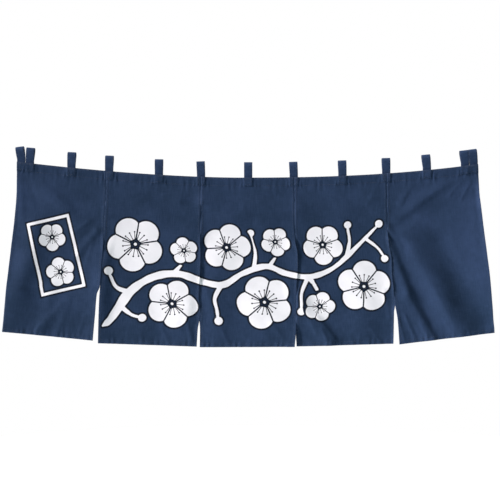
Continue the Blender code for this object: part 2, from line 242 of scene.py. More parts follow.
# Painted light and shade: patches where the dye colour is painted lighter for light or, below 0, darker for
# shade, as rows of (x, z, reach across, reach down, share).
PAINTED_LIGHT_AND_SHADE = (
    (-0.810, -0.130, 0.060, 0.080, 0.40), (-0.818, -0.085, 0.022, 0.035, 0.35),
    (-0.713, -0.090, 0.028, 0.035, 0.25), (-0.628, -0.145, 0.035, 0.025, 0.35),
    (-0.845, -0.320, 0.030, 0.075, 0.36), (-0.860, -0.490, 0.030, 0.050, -0.18),
    (-0.775, -0.515, 0.045, 0.030, -0.12), (-0.640, -0.560, 0.100, 0.050, -0.20),
    (-0.545, -0.405, 0.018, 0.045, 0.30), (-0.500, -0.240, 0.030, 0.050, -0.15),
    (-0.350, -0.620, 0.140, 0.050, -0.30), (0.330, -0.085, 0.130, 0.040, 0.15),
    (0.350, -0.620, 0.120, 0.045, -0.28), (0.575, -0.306, 0.022, 0.032, 0.40),
    (0.640, -0.090, 0.130, 0.075, 0.28), (0.640, -0.198, 0.055, 0.040, 0.40),
    (0.775, -0.085, 0.050, 0.045, 0.35), (0.800, -0.335, 0.060, 0.050, 0.28),
    (0.828, -0.130, 0.022, 0.060, 0.40), (0.830, -0.240, 0.110, 0.150, 0.36),
    (0.860, -0.430, 0.050, 0.090, 0.34), (0.850, -0.540, 0.060, 0.050, -0.22),
)

# Loops, left to right: (x of the foot, lean in degrees, positive to the right).
TABS = (
    (-0.8172, -7.5), (-0.7863, 4.6), (-0.6367, 2.8), (-0.5008, 2.0), (-0.3215, 0.5),
    (-0.1697, -2.4), (0.0000, 0.0), (0.1642, -2.8), (0.3395, -2.0), (0.4972, -1.8),
    (0.6437, -6.0), (0.7812, -7.0), (0.8120, -7.0),
)

# The dyed design, on the flat cloth: x from the middle of the middle width, z down from the top edge

FLAT_WIDTH, FLAT_DROP = 0.338, 0.610

# Boughs and twigs: brush strokes, each a smooth curve through rows of (x, z, radius).
BOUGHS = (
    ((-0.492, -0.548, 0.0030), (-0.466, -0.522, 0.0130), (-0.405, -0.424, 0.0150), (-0.330, -0.368, 0.0125),
     (-0.245, -0.352, 0.0125), (-0.165, -0.374, 0.0110), (-0.085, -0.386, 0.0110), (-0.020, -0.346, 0.0100),
     (0.060, -0.320, 0.0100), (0.130, -0.346, 0.0090), (0.215, -0.360, 0.0095), (0.290, -0.337, 0.0080),
     (0.355, -0.287, 0.0080), (0.420, -0.232, 0.0060), (0.466, -0.190, 0.0040)),
    ((-0.408, -0.425, 0.0080), (-0.452, -0.408, 0.0065), (-0.476, -0.366, 0.0040)),
    ((-0.262, -0.354, 0.0080), (-0.236, -0.322, 0.0050)),
    ((-0.437, -0.475, 0.0080), (-0.400, -0.503, 0.0060), (-0.372, -0.512, 0.0040)),
    ((-0.090, -0.385, 0.0080), (-0.113, -0.440, 0.0065), (-0.105, -0.503, 0.0045)),
    ((0.070, -0.322, 0.0070), (0.092, -0.288, 0.0045)),
    ((0.018, -0.332, 0.0070), (0.023, -0.270, 0.0055), (0.012, -0.212, 0.0040)),
    ((0.213, -0.360, 0.0085), (0.230, -0.385, 0.0065), (0.242, -0.408, 0.0050)),
    ((0.210, -0.362, 0.0070), (0.188, -0.418, 0.0055), (0.187, -0.470, 0.0040)),
    ((0.350, -0.290, 0.0070), (0.366, -0.236, 0.0055), (0.362, -0.190, 0.0040)),
    ((0.424, -0.229, 0.0055), (0.462, -0.262, 0.0048), (0.479, -0.292, 0.0035)),
)

# Blossoms: (x, z, radius, turn in radians). Buds: (x, z, radius).
BLOSSOMS = (
    (-0.395, -0.253, 0.098, 0.20), (-0.262, -0.460, 0.087, 0.55), (-0.226, -0.268, 0.048, 1.10),
    (-0.075, -0.252, 0.085, 0.70), (0.058, -0.449, 0.097, 0.10), (0.098, -0.232, 0.052, 0.40),
    (0.268, -0.246, 0.073, 0.30), (0.405, -0.401, 0.093, 0.85), (0.250, -0.468, 0.053, 0.60),
    (-0.698, -0.256, 0.050, 0.45), (-0.655, -0.377, 0.053, 0.05),
)
BUDS = (
    (-0.481, -0.352, 0.0145), (-0.361, -0.514, 0.0140), (-0.102, -0.516, 0.0145), (0.010, -0.201, 0.0130),
    (0.188, -0.484, 0.0135), (0.362, -0.178, 0.0130), (0.483, -0.304, 0.0125), (0.476, -0.179, 0.0135),
)
BOUGH_CLEARANCE = 1.10

# A blossom, in its own radii: petals, stamens with their round tips, dyed heart and white eye.
PETALS, PETAL_MIDDLE, PETAL_RADIUS, PETAL_SQUEEZE, PETAL_GAP = 5, 0.585, 0.405, 0.92, 0.026
STAMENS, STAMEN_HALF, STAMEN_REACH, STAMEN_TIP, STAMEN_TIP_RADIUS = 15, 0.0125, 0.44, 0.45, 0.030
HEART, EYE = 0.115, 0.055

# The dark line that the dye leaves along the paste: where it starts and is full, and how far it may reach.
RIM_START, RIM_FULL, RIM_REACH = -0.0078, -0.0050, 0.0090

# What the blossoms' attribute holds where there is none near.
AWAY = -10.0

# The tilted frame on the first width: middle, half sizes, half of its line and its tilt in degrees.
SIGN_MIDDLE = (-0.6777, -0.3188)
SIGN_HALF = (0.0755, 0.1286)
SIGN_LINE, SIGN_TILT = 0.0052, 18.6

# Sewing

# The step of the front at a hem: height, start and reach. The pull of the stitches: depth and reach.
STEP_HEIGHT, STEP_START, STEP_REACH = 0.00055, 0.0005, 0.0022
SEW_DEPTH, SEW_REACH = 0.00040, 0.0011

# Rows of stitches: inside a hem's edge, short of the cloth's ends, and along the top edge.
ROW_INSET, ROW_END, EDGE_ROW = 0.0010, 0.004, 0.0030

# The boxes sewn over the loops' feet: half width, top, foot, margin at the cloth's ends, and least width.
BOX_HALF, BOX_TOP, BOX_FOOT, BOX_MARGIN, BOX_LEAST = 0.012, 0.0065, 0.0250, 0.002, 0.006

# Worn edges: how far the wear reaches into a width and into a loop.
WEAR_REACH, WEAR_REACH_LOOP = 0.0022, 0.0018

# How the pieces are meshed: the open cloth's cell, the places beside a hem's edge, and a loop's cells.

FIELD_CELL = 0.0029
HEM_PLACES = (-0.0022, -0.0010, 0.0, 0.0010, 0.0022)
TAB_CELLS_LEG, TAB_CELLS_SIDE, TAB_CELLS_ARC = 8, 14, 18
TINY = 1e-4

# Camera: the photograph's straight front view, with the frame's width and its middle at the cloth.
FRAME_WIDTH = 1.800
FRAME_MIDDLE = (0.0065, -0.3058)
LENS, SENSOR = 85.0, 36.0

# Stage: a pale round floor and a white backdrop. Lights: (name, strength, softness, tip and turn, colour),
# with the angles in degrees.
FLOOR_Z, FLOOR_RADIUS, FLOOR_SIDES, FLOOR_GLOW = -1.30, 2.4, 96, 0.20
SUNS = (
    ("key_light", 7.1, 12.0, 62.7, -72.0, (1.09, 0.985, 1.00)),
    ("back_light", 4.0, 25.0, 55.0, 140.0, (1.0, 1.0, 1.0)),
)
AMBIENT, AMBIENT_COLOUR = 0.11, (0.40, 1.06, 1.12)


class NorenSizes(bpy.types.PropertyGroup):
    """Sizes of the cloth, its hems and its sewing."""

    cloth: bpy.props.FloatProperty(
        name="Cloth", description="Thickness of one layer of cotton", default=0.0005, unit="LENGTH"
    )
    layer: bpy.props.FloatProperty(
        name="Layer", description="From one layer of a hem to the next", default=0.00055, unit="LENGTH"
    )
    side_hem: bpy.props.FloatProperty(
        name="Side hem", description="Width of the hems down both sides", default=0.009, unit="LENGTH"
    )
    top_hem: bpy.props.FloatProperty(
        name="Top hem", description="Depth of the hem that carries the loops", default=0.031, unit="LENGTH"
    )
    bottom_hem: bpy.props.FloatProperty(
        name="Bottom hem", description="Depth of the hem at the foot", default=0.014, unit="LENGTH"
    )
    stitch_pitch: bpy.props.FloatProperty(
        name="Stitch pitch", description="From one stitch to the next", default=0.0050, unit="LENGTH"
    )
    stitch_length: bpy.props.FloatProperty(
        name="Stitch length", description="Length of a stitch that shows", default=0.0028, unit="LENGTH"
    )
    thread: bpy.props.FloatProperty(
        name="Thread", description="Radius of the sewing thread", default=0.00030, unit="LENGTH"
    )
    weave: bpy.props.FloatProperty(
        name="Weave", description="Length in which the weave repeats", default=0.0012, unit="LENGTH"
    )


class NorenColours(bpy.types.PropertyGroup):
    """Colours of the dyed cloth and the stage."""

    # The darker end of the dye. The painted shade patches also pull the cloth towards it.
    deep_dye_and_painted_shade: bpy.props.FloatVectorProperty(
        name="Deep indigo", description="Dye in the folds", default=(0.0082, 0.0228, 0.0520), subtype="COLOR"
    )
    # The lighter end of the dye. The painted light patches also pull the cloth towards it.
    faded_dye_and_painted_light: bpy.props.FloatVectorProperty(
        name="Faded", description="Dye where it has faded", default=(0.0226, 0.0446, 0.102), subtype="COLOR"
    )
    worn: bpy.props.FloatVectorProperty(
        name="Worn indigo", description="Dye along the edges", default=(0.07, 0.092, 0.15), subtype="COLOR"
    )
    undyed: bpy.props.FloatVectorProperty(
        name="Undyed", description="White left by the paste", default=(0.735, 0.748, 0.775), subtype="COLOR"
    )
    thread: bpy.props.FloatVectorProperty(
        name="Thread", description="The sewing thread", default=(0.0130, 0.0260, 0.0560), subtype="COLOR"
    )
    stage: bpy.props.FloatVectorProperty(
        name="Stage", description="The floor", default=(0.93, 0.93, 0.93), subtype="COLOR"
    )


# The hung shape


def eased(value):
    """0 below 0, 1 above 1 and 3f^2 - 2f^3 between."""
    f = np.clip(value, 0.0, 1.0)
    return f * f * (3 - 2 * f)


def bell(distance, reach):
    """1 at no distance, falling as exp(-(distance / reach)^2)."""
    return np.exp(-((distance / reach) ** 2))


def through(rows, column, height):
    """Monotone cubic (PCHIP) through a table's rows: the slope at a row is its neighbours' harmonic mean."""
    table = np.array(rows, float)[::-1]
    known, values = table[:, 0], table[:, column]
    steps = np.diff(known)
    slopes = np.diff(values) / steps
    inner = np.zeros(len(known))
    inner[0], inner[-1] = slopes[0], slopes[-1]
    same_way = slopes[:-1] * slopes[1:] > 0
    inner[1:-1][same_way] = 2 / (1 / slopes[:-1][same_way] + 1 / slopes[1:][same_way])
    place = np.clip(height, known[0], known[-1])
    i = np.clip(np.searchsorted(known, place) - 1, 0, len(steps) - 1)
    f = (place - known[i]) / steps[i]
    return (
        values[i] * (1 + 2 * f) * (1 - f) ** 2
        + inner[i] * steps[i] * f * (1 - f) ** 2
        + values[i + 1] * f * f * (3 - 2 * f)
        + inner[i + 1] * steps[i] * f * f * (f - 1)
    )


def top_height(x):
    """Height of the top edge: a power of the distance from its lowest point, on each side."""
    left = np.clip((LOW_X - x) / LEFT_REACH, 0, None) ** LEFT_POWER * LEFT_RISE
    right = np.clip((x - LOW_X) / RIGHT_REACH, 0, None) ** RIGHT_POWER * RIGHT_RISE
    return LOW_Z + left + right


def line_x(line, column, height):
    """Where a line between panels runs, set back by half the gap, which eases from seam to slit."""
    gap = 0.0
    if line in SLIT_TOPS:
        gap = SEAM_GAP + (SLIT_GAP - SEAM_GAP) * eased((SLIT_TOPS[line] - height) / SLIT_FADE)
    side = -0.5 if column == 1 else 0.5
    return through(LINES[line], column, height) + side * gap


def fold_height(row, x, z):
    """Height of a fold: linear along its crest, and a bell across it with its own width on each side."""
    _, x0, z0, x1, z1, left, right, start, end = row
    along = np.array((x1 - x0, z1 - z0))
    length = np.hypot(*along)
    along = along / length
    run = (x - x0) * along[0] + (z - z0) * along[1]
    across = -(x - x0) * along[1] + (z - z0) * along[0]
    share = np.clip(run / length, 0, 1)
    width = np.where(across < 0, left, right)
    past = run - share * length
    cap = min(FOLD_CAP, 1.2 * max(left, right))
    bell = np.exp(-((across / width) ** 2) - (past / cap) ** 2)
    return (start + (end - start) * share) * bell


def shared_share(owner, panel, z):
    """Share of one panel's fold that another follows: all of it across a seam, and none across a slit."""
    if owner == panel:
        return 1.0
    if abs(owner - panel) > 1:
        return 0.0
    return 1 - eased((SLIT_TOPS[max(owner, panel)] - z) / SLIT_FADE)


def tab_relief(x, z):
    """The sewn foot of each loop pressing through the hem: a plateau, with a pucker flaring on both sides."""
    relief = 0.0
    for tab, (foot_x, _) in enumerate(TABS):
        below = top_height(foot_x) - z
        beside = np.abs(x - foot_x)
        side = 1 - eased((beside - FOOT_HALF) / FOOT_EDGE)
        relief = np.maximum(relief, FOOT_HEIGHT * side * (1 - eased((below - TAB_SEWN) / FOOT_END)))
        uneven = 0.0012 * np.sin(1.7 * tab + 150 * below)
        flare = FLARE_START + FLARE_SPREAD * np.clip(below, 0, 0.05) + uneven
        swell = bell(below - PUCKER_BELOW, PUCKER_LENGTH) * bell(beside - flare, PUCKER_WIDTH)
        relief = relief + FOOT_PUCKER * swell
    return relief


def puckers(panel, a, b):
    """Small uneven waves along the edges: a sine whose phase and height wander, fading inwards as a bell."""
    edges = ((b, a), (b, FLAT_WIDTH - a), (a, FLAT_DROP - b), (a, b - WAVES_BELOW_TOP))
    total = 0.0
    for seed, (run, inset), (height, length, reach) in zip(range(panel, panel + 4), edges, WAVES):
        wander = 0.9 * np.sin(math.tau * run / 0.087 + seed)
        wander = wander + 0.6 * np.sin(math.tau * run / 0.051 + 2.3 * seed)
        swell = 0.65 + 0.35 * np.sin(math.tau * run / 0.131 + 1.7 * seed)
        wave = swell * np.sin(math.tau * run / length + wander)
        total = total + height * wave * bell(inset, reach)
    return total


def slack(x, z, panel):
    """The cloth's own unevenness: three crossed sines with wandering phases, longer than a hand is wide."""
    u, v = x + 0.3 * z, z - 0.2 * x
    first = np.sin(math.tau * u / 0.147 + 1.3 * np.sin(math.tau * v / 0.310 + panel) + panel)
    second = np.sin(math.tau * v / 0.118 + 1.1 * np.sin(math.tau * u / 0.260) + 2.1 * panel)
    third = np.sin(math.tau * (u + v) / 0.083 + 0.8 * np.sin(math.tau * v / 0.190 + 4.0))
    return 0.00070 * first + 0.00055 * second + 0.00025 * third


def slit_lip(z, line, side):
    """How far a slit's hem rolls over at its edge: uneven, and the most a little below its head."""
    seed = line + 1.4 * side
    below = SLIT_TOPS[line] - z
    swell = 1 + LIP_SWELL * bell(below - LIP_BELOW, LIP_LENGTH)
    wander = 0.70 + 0.30 * np.sin(math.tau * z / 0.061 + seed) * np.sin(math.tau * z / 0.037 + 2.0 * seed)
    return LIPS[line][side] * wander * swell * eased(below / 0.020)


def panel_point(panel, a, b):
    """Point of a panel's face, a metres from its left edge and b metres below its top edge when flat."""
    across, down = a / FLAT_WIDTH, b / FLAT_DROP
    left_line, right_line = panel, panel + 1
    left_top = LINES[left_line][0][2]
    right_top = LINES[right_line][0][1]
    left_z = top_height(left_top) + down * (HEMS[panel][0] - top_height(left_top))
    right_z = top_height(right_top) + down * (HEMS[panel][1] - top_height(right_top))
    left_x = line_x(left_line, 2, left_z)
    right_x = line_x(right_line, 1, right_z)
    x = left_x + across * (right_x - left_x)
    head_z = top_height(left_top + across * (right_top - left_top))
    hem_z = HEMS[panel][0] + across * (HEMS[panel][1] - HEMS[panel][0])
    z = head_z + down * (hem_z - head_z)

    forward = sum(shared_share(row[0], panel, z) * fold_height(row, x, z) for row in FOLDS + CREASES)
    forward = (forward + slack(x, z, panel)) * eased((head_z - z - FLAT_HEAD) / FOLD_GROWTH)
    for line, inset in ((left_line, x - left_x), (right_line, right_x - x)):
        if line in SLIT_TOPS:
            sewn = 1 - eased((SLIT_TOPS[line] + 0.015 - z) / 0.030)
            forward -= GROOVES[line] * sewn * bell(inset, GROOVE_REACH)
    if left_line in CURLS:
        inset = x - left_x
        forward += bell(inset, CURL_REACH) * through(CURLS[left_line], 2, z)
        forward -= bell(inset, LIP_REACH) * slit_lip(z, left_line, 1)
    if right_line in CURLS:
        inset = right_x - x
        forward += bell(inset, CURL_REACH) * through(CURLS[right_line], 1, z)
        forward += bell(inset, LIP_REACH) * slit_lip(z, right_line, 0)
    forward += tab_relief(x, z) + puckers(panel, a, b)
    return np.stack([x, HEAD_Y - forward, z], axis=-1)


def unit(vectors):
    """Vectors of length 1."""
    return vectors / np.linalg.norm(vectors, axis=-1, keepdims=True)


def panel_frame(panel, a, b):
    """Point of a panel, its normal out of the front, and its ways across and down, by central differences."""
    point = panel_point(panel, a, b)
    across = panel_point(panel, a + TINY, b) - panel_point(panel, a - TINY, b)
    down = panel_point(panel, a, b + TINY) - panel_point(panel, a, b - TINY)
    normal = np.cross(down, across)
    return point, unit(normal), unit(across), unit(down)


def tab_point(tab, across, along):
    """Point of a loop's middle surface: legs, opening sides and a half circle, at a share of its length."""
    foot_x, lean = TABS[tab]
    rise, depth, _ = tab_path(along)
    lean = math.radians(lean)
    turned = np.clip(rise - TAB_LEAN_START, 0, None)
    x = foot_x + across + turned * math.sin(lean)
    z = top_height(foot_x) + rise - across * math.sin(lean) * eased(turned / TAB_RADIUS)
    crumple = 0.00035 * np.sin(math.tau * (rise / 0.031 + across / 0.046) + 1.9 * tab) * eased(rise / 0.012)
    return np.stack([x, depth + crumple, z], axis=-1)


def tab_path(along):
    """Rise, depth and total length of a loop's path at shares of its length, from a fine polyline."""
    touching = (STRIP + STRIP_GAP) / 2
    radius = TAB_RADIUS - STRIP / 2
    centre = TAB_RISE - TAB_RADIUS
    leg = np.linspace(-TAB_SEWN, 0, 24, endpoint=False)
    side = np.linspace(0, centre, 60, endpoint=False)
    arc = np.linspace(0, math.pi, 90)
    spread = touching + (radius - touching) * eased(side / centre)
    flat = np.full(len(leg), touching)
    rise = np.concatenate([leg, side, centre + radius * np.sin(arc), side[::-1], leg[::-1]])
    depth = np.concatenate([-flat, -spread, -radius * np.cos(arc), spread[::-1], flat])
    run = np.concatenate([[0.0], np.cumsum(np.hypot(np.diff(rise), np.diff(depth)))])
    place = along * run[-1]
    return np.interp(place, run, rise), np.interp(place, run, depth), run[-1]


def tab_frame(tab, across, along):
    """Point of a loop, its normal out of the loop, and its ways across and along, by central differences."""
    point = tab_point(tab, across, along)
    side = tab_point(tab, across + TINY, along) - tab_point(tab, across - TINY, along)
    step = 2e-3
    run = tab_point(tab, across, along + step) - tab_point(tab, across, along - step)
    normal = np.cross(side, run)
    return point, unit(normal), unit(side), unit(run)


# Meshes


def painted_light_and_shade_share(x, z):
    """How much lighter or, below 0, darker the dye is painted for light and shade: a bell round each place, by
    its own reaches.
    """
    return sum(
        share * np.exp(-(((x - middle_x) / across) ** 2) - ((z - middle_z) / down) ** 2)
        for middle_x, middle_z, across, down, share in PAINTED_LIGHT_AND_SHADE
    )


def mesh_object(name, points, faces, material):
    """A mesh from points and faces of equal or mixed size, smooth, with its material."""
    mesh = bpy.data.meshes.new(name)
    mesh.from_pydata(points.reshape(-1, 3).tolist(), [], faces)
    mesh.materials.append(material)
    mesh.shade_smooth()
    obj = bpy.data.objects.new(name, mesh)
    bpy.context.scene.collection.objects.link(obj)
    return obj


def grid_faces(rows, columns, closed=False):
    """Quads of a grid of points stored row by row, joined round its columns where closed."""
    row = np.arange(rows - 1)[:, None]
    column = np.arange(columns if closed else columns - 1)[None, :]
    following = (column + 1) % columns
    corners = [row * columns + column, row * columns + following]
    corners += [(row + 1) * columns + following, (row + 1) * columns + column]
    return np.stack(corners, axis=-1).reshape(-1, 4)


def set_attribute(obj, name, kind, values):
    """A value for each point: one number, or a vector."""
    attribute = obj.data.attributes.new(name, kind, "POINT")
    key = "vector" if kind == "FLOAT_VECTOR" else "value"
    attribute.data.foreach_set(key, np.ascontiguousarray(values, np.float32).ravel())


def set_uv(obj, name, u, v):
    """A UV map in metres of flat cloth, taken to each corner from its point."""
    corner = np.empty(len(obj.data.loops), np.int32)
    obj.data.loops.foreach_get("vertex_index", corner)
    places = np.stack([u.ravel()[corner], v.ravel()[corner]], axis=-1).astype(np.float32)
    obj.data.uv_layers.new(name=name).data.foreach_set("uv", places.ravel())


def hem_profile(width, layer, field):
    """Insets, depths and flat places of an edge, from the raw edge tucked inside its hem to the open cloth.

    The cloth runs out to the edge, turns back round a half circle of one layer's radius, runs in by the hem's
    width, turns again round half that radius and ends between the other two.
    """
    inner = np.linspace(-math.pi / 2, math.pi / 2, 5)
    outer = np.linspace(math.pi / 2, -math.pi / 2, 7)
    turn = width - layer
    inset = [[0.2 * width, 0.6 * width], turn + layer / 2 * np.cos(inner), [0.5 * width]]
    inset = np.concatenate(inset + [layer - layer * np.cos(outer), field])
    depth = [[layer, layer], 1.5 * layer + layer / 2 * np.sin(inner), [2 * layer]]
    depth = np.concatenate(depth + [layer + layer * np.sin(outer), 0 * field])
    flat = np.concatenate([[0.0], np.cumsum(np.hypot(np.diff(inset), np.diff(depth)))])
    edge = 2 + len(inner) + 1 + len(outer) // 2
    return inset, depth, flat - flat[edge]


def width_profile(length, near, far, layer):
    """Places, depths and flat places of the cloth from one raw edge to the other, with a hem at both ends."""

    def beside(hem):
        return np.array([0.25 * hem, 0.6 * hem] + [hem + place for place in HEM_PLACES])

    first, last = beside(near), beside(far)
    middle = np.linspace(first[-1], length - last[-1], int((length - near - far) / FIELD_CELL))[1:-1]
    a_inset, a_depth, a_flat = hem_profile(near, layer, np.concatenate([first, middle]))
    b_inset, b_depth, b_flat = hem_profile(far, layer, last)
    places = np.concatenate([a_inset, length - b_inset[::-1]])
    depths = np.concatenate([a_depth, b_depth[::-1]])
    flats = np.concatenate([a_flat, length - b_flat[::-1]])
    return places, depths, flats


def hem_lines(a, b, sizes):
    """How far the front stands back at the rows of stitches, and forward where a hem lies behind it."""
    step = 0.0
    sew = 0.0
    insets = (a, FLAT_WIDTH - a, b, FLAT_DROP - b)
    for inset, hem in zip(insets, (sizes.side_hem, sizes.side_hem, sizes.top_hem, sizes.bottom_hem)):
        step = np.maximum(step, 1 - eased((inset - hem + STEP_START) / STEP_REACH))
        sew = np.maximum(sew, bell(inset - hem + ROW_INSET, SEW_REACH))
    return STEP_HEIGHT * step - SEW_DEPTH * sew


def make_panel(panel, sizes, material):
    """One width of cotton: the hung surface moved out along its normal by the depth of its folded hems."""
    side, layer = sizes.side_hem, sizes.layer
    places_a, depths_a, flats_a = width_profile(FLAT_WIDTH, side, side, layer)
    places_b, depths_b, flats_b = width_profile(FLAT_DROP, sizes.top_hem, sizes.bottom_hem, layer)
    a, b = np.meshgrid(places_a, places_b)
    depth_a, depth_b = np.meshgrid(depths_a, depths_b)
    flat_a, flat_b = np.meshgrid(flats_a, flats_b)
    point, normal, _, _ = panel_frame(panel, a, b)
    side_share = 1 - 0.35 * depth_b / layer
    in_front = layer + hem_lines(a, b, sizes)
    points = point + normal * (in_front - depth_b - side_share * depth_a)[..., None]
    faces = grid_faces(*a.shape)[:, ::-1]
    obj = mesh_object(f"noren_width_{panel + 1}", points, faces.tolist(), material)
    set_uv(obj, "cloth", flat_a, -flat_b)
    x, z = (panel - 2.5) * FLAT_WIDTH + flat_a, -flat_b
    set_attribute(obj, "drawing", "FLOAT", drawing(x, z))
    set_attribute(obj, "blossom", "FLOAT_VECTOR", blossom_places(x, z))
    edge = np.abs(np.stack([flat_a, FLAT_WIDTH - flat_a, flat_b, FLAT_DROP - flat_b])).min(axis=0)
    set_attribute(obj, "wear", "FLOAT", bell(edge, WEAR_REACH))
    # Painted light and shade: lighter and darker patches of the dye where the cloth is lit or shaded.
    set_attribute(obj, "painted_light_and_shade", "FLOAT", painted_light_and_shade_share(points[..., 0], points[..., 2]))
    solidify = obj.modifiers.new("thickness", "SOLIDIFY")
    solidify.thickness = sizes.cloth
    solidify.offset = 0.0
    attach(obj, "root")
    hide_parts(f"panel_{panel + 1}")
    return obj, (flats_a[-1] - flats_a[0], flats_b[-1] - flats_b[0])


def make_tab(tab, material):
    """One loop: a flat stitched strip carried along its path, rounded at the sides and full between seams."""
    rows = 2 * (TAB_CELLS_LEG + TAB_CELLS_SIDE) + TAB_CELLS_ARC + 1
    _, _, length = tab_path(0.0)
    along = np.linspace(0.5 * STRIP / length, 1 - 0.5 * STRIP / length, rows)
    half = TAB_WIDTH / 2
    reach = np.array([-1.0, -0.985, -0.93, -0.84, -0.76, -0.5, 0.0, 0.5, 0.76, 0.84, 0.93, 0.985, 1.0])
    swell = np.array([0.00, 0.62, 0.86, 0.66, 0.86, 0.98, 1.0, 0.98, 0.86, 0.66, 0.86, 0.62, 0.00])
    across = np.concatenate([reach, reach[-2:0:-1]]) * half
    height = np.concatenate([swell, -swell[-2:0:-1]]) * STRIP / 2
    w, s = np.meshgrid(across, along)
    h = np.broadcast_to(height, w.shape)
    point, normal, _, _ = tab_frame(tab, w, s)
    points = point + normal * h[..., None]
    columns = len(across)
    faces = grid_faces(rows, columns, closed=True)[:, ::-1].tolist()
    faces.append(list(range(columns)))
    faces.append(list(range((rows - 1) * columns, rows * columns))[::-1])
    obj = mesh_object(f"noren_loop_{tab + 1:02d}", points, faces, material)
    set_uv(obj, "cloth", w + 0.7 * (tab + 1), s * length)
    set_attribute(obj, "drawing", "FLOAT", np.full(w.shape, -1.0))
    set_attribute(obj, "blossom", "FLOAT_VECTOR", np.full(w.shape + (3,), AWAY))
    set_attribute(obj, "wear", "FLOAT", bell(half - np.abs(w), WEAR_REACH_LOOP))
    # The loops get no painted light or shade.
    set_attribute(obj, "painted_light_and_shade", "FLOAT", np.zeros(w.shape))
    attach(obj, "root")
    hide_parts(f"tab_{tab + 1:02d}")
    return obj, (TAB_WIDTH, length)


def stitch_points(centre, normal, run, sizes):
    """Rings of every stitch: a bowed thread along the run, whose ends dip into the cloth, with four sides."""
    share = np.linspace(-1, 1, 5)
    turn = np.arange(4) * math.tau / 4
    side = np.cross(normal, run)
    bow = sizes.thread * (0.9 - 1.9 * share**4)
    spine = centre[:, None] + run[:, None] * (share * sizes.stitch_length / 2)[:, None]
    spine = spine + normal[:, None] * bow[:, None]
    ring = normal[:, None] * np.sin(turn)[:, None] + side[:, None] * np.cos(turn)[:, None]
    return spine[:, :, None] + ring[:, None] * sizes.thread


def stitch_faces(count):
    """Faces of one stitch, a tube with both ends closed, repeated for all of them."""
    tube = grid_faces(5, 4, closed=True)
    ends = np.array([[3, 2, 1, 0], [16, 17, 18, 19]])
    one = np.concatenate([tube, ends])
    return (one[None] + 20 * np.arange(count)[:, None, None]).reshape(-1, 4)


def seam_places(start, end, pitch, offset=0.0):
    """Middles of the stitches on a straight seam on the flat cloth, and its direction."""
    start, end = np.array(start), np.array(end)
    length = np.linalg.norm(end - start)
    count = int(length / pitch)
    share = (np.arange(count) + 0.5 + offset) * pitch / length
    share = share[share < 1]
    places = start + share[:, None] * (end - start)
    return places, np.broadcast_to((end - start) / length, places.shape)


def panel_seams(panel, sizes):
    """Straight seams of a panel on the flat cloth: hems, the top edge and the boxes over the loops' feet."""
    side, top, foot = (hem - ROW_INSET for hem in (sizes.side_hem, sizes.top_hem, sizes.bottom_hem))
    w, d = FLAT_WIDTH, FLAT_DROP
    seams = [((x, ROW_END), (x, d - ROW_END)) for x in (side, w - side)]
    seams += [((ROW_END, z), (w - ROW_END, z)) for z in (top, d - foot, EDGE_ROW)]
    left, right = LINES[panel][0][2], LINES[panel + 1][0][1]
    for foot_x, _ in TABS:
        middle = (foot_x - left) / (right - left) * w
        ends = (middle - BOX_HALF, middle + BOX_HALF)
        low, high = np.clip(ends, BOX_MARGIN, w - BOX_MARGIN)
        if high - low > BOX_LEAST:
            seams += [((low, z), (high, z)) for z in (BOX_TOP, BOX_FOOT)]
            seams += [((x, BOX_TOP), (x, BOX_FOOT)) for x in ends if low <= x <= high]
    return seams


def make_panel_stitches(panel, sizes, material):
    """All stitches of a panel, on its front and, half a pitch on, on its back, as one mesh."""
    rings = []
    for front, offset in ((1, 0.0), (-1, 0.5)):
        found = [seam_places(*ends, sizes.stitch_pitch, offset) for ends in panel_seams(panel, sizes)]
        places, ways = (np.concatenate(parts) for parts in zip(*found))
        a, b = places[:, 0], places[:, 1]
        point, normal, across, down = panel_frame(panel, a, b)
        face = -(sizes.layer + sizes.cloth / 2)
        if front > 0:
            face = sizes.layer + hem_lines(a, b, sizes) + sizes.cloth / 2
        run = across * ways[:, :1] + down * ways[:, 1:]
        centre = point + normal * np.broadcast_to(face, a.shape)[:, None]
        rings.append(stitch_points(centre, front * normal, run, sizes))
    points = np.concatenate(rings)
    obj = mesh_object(f"stitches_{panel + 1}", points, stitch_faces(len(points)).tolist(), material)
    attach(obj, "root")
    return obj


def make_tab_stitches(sizes, material):
    """The two rows of stitches down the outside of every loop, as one mesh."""
    _, _, length = tab_path(0.0)
    count = int(length / sizes.stitch_pitch)
    along = (np.arange(count) + 0.5) / count
    rings = []
    for tab in range(len(TABS)):
        for side in (-0.84, 0.84):
            across = np.full(count, side * TAB_WIDTH / 2)
            point, normal, _, run = tab_frame(tab, across, along)
            rings.append(stitch_points(point + normal * STRIP * 0.33, normal, run, sizes))
    points = np.concatenate(rings)
    obj = mesh_object("stitches_loops", points, stitch_faces(len(points)).tolist(), material)
    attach(obj, "root")
    return obj


# The design


def smooth_curve(points, steps=14):
    """Catmull-Rom curve through points: each stretch is a cubic that meets the next with the same slope."""
    p = np.array(points, float)
    p = np.concatenate([[2 * p[0] - p[1]], p, [2 * p[-1] - p[-2]]])
    t = np.linspace(0, 1, steps, endpoint=False)[:, None]
    parts = []
    for p0, p1, p2, p3 in zip(p[:-3], p[1:-2], p[2:-1], p[3:]):
        square, cube = 2 * p0 - 5 * p1 + 4 * p2 - p3, 3 * p1 - p0 - 3 * p2 + p3
        parts.append(0.5 * (2 * p1 + (p2 - p0) * t + square * t**2 + cube * t**3))
    return np.concatenate(parts + [p[-2:-1]])


